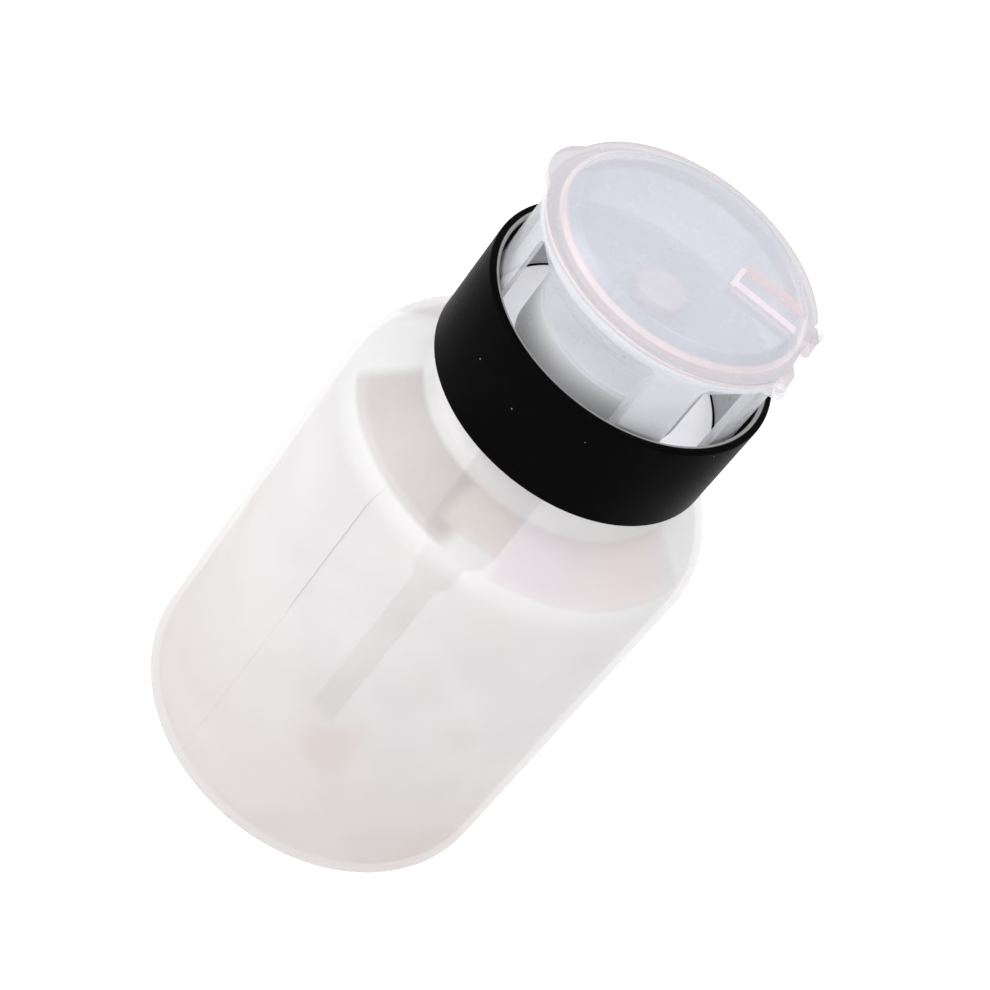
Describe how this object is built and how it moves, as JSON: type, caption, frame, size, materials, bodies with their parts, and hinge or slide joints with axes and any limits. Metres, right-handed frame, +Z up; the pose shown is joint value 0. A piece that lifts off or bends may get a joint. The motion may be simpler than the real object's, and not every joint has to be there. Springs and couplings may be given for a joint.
{
  "type": "pump dispenser bottle",
  "caption": "Cylindrical milky bottle with a black collar, windowed press head with a shallow dish, hinged translucent flip lid, and a spring return pump with dip tube inside.",
  "frame": {"origin": "centre of the bottle's base, on the surface that it stands on", "axes": "+Z up along the bottle's axis, +X towards the lid's hinge, -X towards the lid's thumb tab"},
  "size_m": [0.062, 0.062, 0.1202],
  "materials": {
    "milky_bottle_plastic": "smooth milky blow-moulded plastic",
    "foam_liner": "matt foam",
    "pump_body_plastic": "natural moulded",
    "bush_plastic": "natural moulded",
    "soft_seal_plastic": "soft moulded",
    "valve_cage_plastic": "natural moulded",
    "dip_tube_plastic": "extruded",
    "spring_steel": "drawn wire",
    "closure_plastic": "natural moulded",
    "hub_plastic": "natural moulded",
    "black_satin_plastic": "black satin",
    "ball_steel": "polished",
    "piston_plastic": "soft moulded",
    "plug_plastic": "natural moulded",
    "stem_plastic": "natural moulded",
    "head_plastic": "frosty natural moulded",
    "button_plastic": "moulded",
    "translucent_lid_plastic": "translucent moulded"
  },
  "bodies": {
    "bottle": {"bottle": "milky_bottle_plastic"},
    "gasket": {"neck_gasket": "foam_liner"},
    "pump": {"pump_housing": "pump_body_plastic", "housing_chaplet": "bush_plastic", "stem_wiper": "soft_seal_plastic", "ball_cage": "valve_cage_plastic", "dip_tube": "dip_tube_plastic", "return_spring": "spring_steel"},
    "closure": {"screw_closure": "closure_plastic", "guide_turret": "hub_plastic", "collar_sleeve": "black_satin_plastic"},
    "inlet_ball": {"inlet_ball": "ball_steel"},
    "piston": {"piston_seal": "piston_plastic"},
    "head": {"press_head": "head_plastic", "nozzle_cap": "button_plastic", "upper_stem": "stem_plastic", "piston_plug": "plug_plastic"},
    "outlet_ball": {"outlet_ball": "ball_steel"},
    "lid": {"flip_lid": "translucent_lid_plastic"}
  },
  "joints": [
    {"name": "pump_lift", "type": "slide", "parent": "bottle", "child": "gasket", "axis": [0, 0, 1], "range_m": [0, 0.095]},
    {"name": "cap_rise", "type": "slide", "parent": "gasket", "child": "pump", "axis": [0, 0, 1], "range_m": [0, 0.0055]},
    {"name": "cap_turn", "type": "hinge", "parent": "pump", "child": "closure", "pos_m": [0, 0, 0.0926], "axis": [0, 0, 1], "range_deg": [0, 540]},
    {"name": "inlet_ball_lift", "type": "slide", "parent": "pump", "child": "inlet_ball", "axis": [0, 0, 1], "range_m": [0, 0.0012]},
    {"name": "head_press", "type": "slide", "parent": "pump", "child": "piston", "axis": [0, 0, -1], "range_m": [0, 0.0044], "stiffness_N_per_m": 1500, "springref_m": -0.004, "deforming": ["return_spring"]},
    {"name": "head_spin", "type": "hinge", "parent": "piston", "child": "head", "pos_m": [0, 0, 0.0938], "axis": [0, 0, 1], "continuous": true},
    {"name": "outlet_ball_lift", "type": "slide", "parent": "head", "child": "outlet_ball", "axis": [0, 0, 1], "range_m": [0, 0.0008]},
    {"name": "lid_hinge", "type": "hinge", "parent": "head", "child": "lid", "pos_m": [0.0211, 0, 0.1165], "axis": [0, 1, 0], "range_deg": [0, 120]}
  ],
  "couplings": [
    {"joint": "cap_rise", "follows": "cap_turn", "m_per_rad": 0.00057296}
  ]
}
